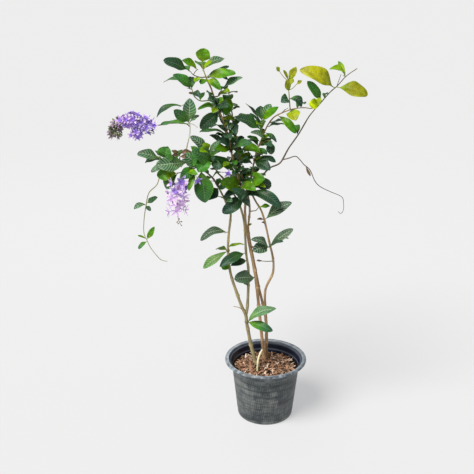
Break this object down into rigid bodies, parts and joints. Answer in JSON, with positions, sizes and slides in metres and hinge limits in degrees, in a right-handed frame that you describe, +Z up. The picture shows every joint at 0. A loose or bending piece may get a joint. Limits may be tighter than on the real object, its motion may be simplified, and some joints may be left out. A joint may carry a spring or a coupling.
{
  "type": "potted sandpaper vine",
  "caption": "Tall twining vine with woody canes, rough paired leaves and violet star-shaped racemes, growing in a round black nursery pot that stands on its flat base.",
  "frame": {"origin": "middle of the pot's flat base, on the surface that it stands on", "axes": "+Z up along the pot, -Y the plant's front as pictured, +X to the right seen from the front"},
  "size_m": [0.7302, 0.3109, 1.1811],
  "materials": {
    "pot_plastic": "weathered black moulded plastic, faint ribs, dusty",
    "potting_mix": "loose reddish-brown bark and coir",
    "cane_bark": "tan to olive-brown bark with pale flecks",
    "foliage": "leathery green blades with pale sunken veins",
    "flower": "soft violet lobes, paler towards the edges",
    "dried_stem": "dry brown twig and withered calyces"
  },
  "bodies": {
    "root": {"pot": "pot_plastic", "potting_mix": "potting_mix", "cane_left": "cane_bark", "cane_front": "cane_bark", "cane_back": "cane_bark", "cane_right": "cane_bark", "old_stub": "dried_stem", "top_spray": "foliage", "top_left_sprig": "foliage", "upper_left_spray": "foliage", "upper_right_sprig": "foliage", "second_shoot_tip": "foliage", "leader_pair_upper": "foliage", "leader_pair_middle": "foliage", "leader_pair_lower": "foliage", "second_shoot_pair": "foliage", "right_crown_spray": "foliage", "arching_branch": "foliage", "upright_young_shoot": "foliage", "runner_right": "foliage", "tendril_right": "foliage", "left_branch": "foliage", "left_lower_sprig": "foliage", "left_upper_spray": "foliage", "crown_left_hanging": "foliage", "pair_high_crown": "foliage", "pair_high_crown_front": "foliage", "right_crown_low_sprig": "foliage", "right_crown_pair": "foliage", "crown_heart_pair": "foliage", "crown_heart_pair_low": "foliage", "crown_base_whorl": "foliage", "crown_base_right": "foliage", "crown_low_pair": "foliage", "crown_low_leaf_left": "foliage", "right_cane_leaf_high": "foliage", "young_shoot_mid": "foliage", "low_leaf_left": "foliage", "low_young_leaf": "foliage", "low_leaf_far_left": "foliage", "low_leaf_dark": "foliage", "low_leaf_small": "foliage", "low_leaf_olive": "foliage", "low_leaf_oval": "foliage", "right_cane_cluster": "foliage", "right_cane_young_twig": "foliage", "basal_pair": "foliage", "basal_dry_twig": "dried_stem", "runner_left": "foliage", "back_spray_high": "foliage", "back_spray_mid": "foliage", "back_spray_left": "foliage", "back_spray_low": "foliage", "dried_cluster": "dried_stem", "raceme_left": "flower", "raceme_hanging": "flower", "single_flower_left": "flower", "single_flower_right": "flower"}
  },
  "joints": []
}
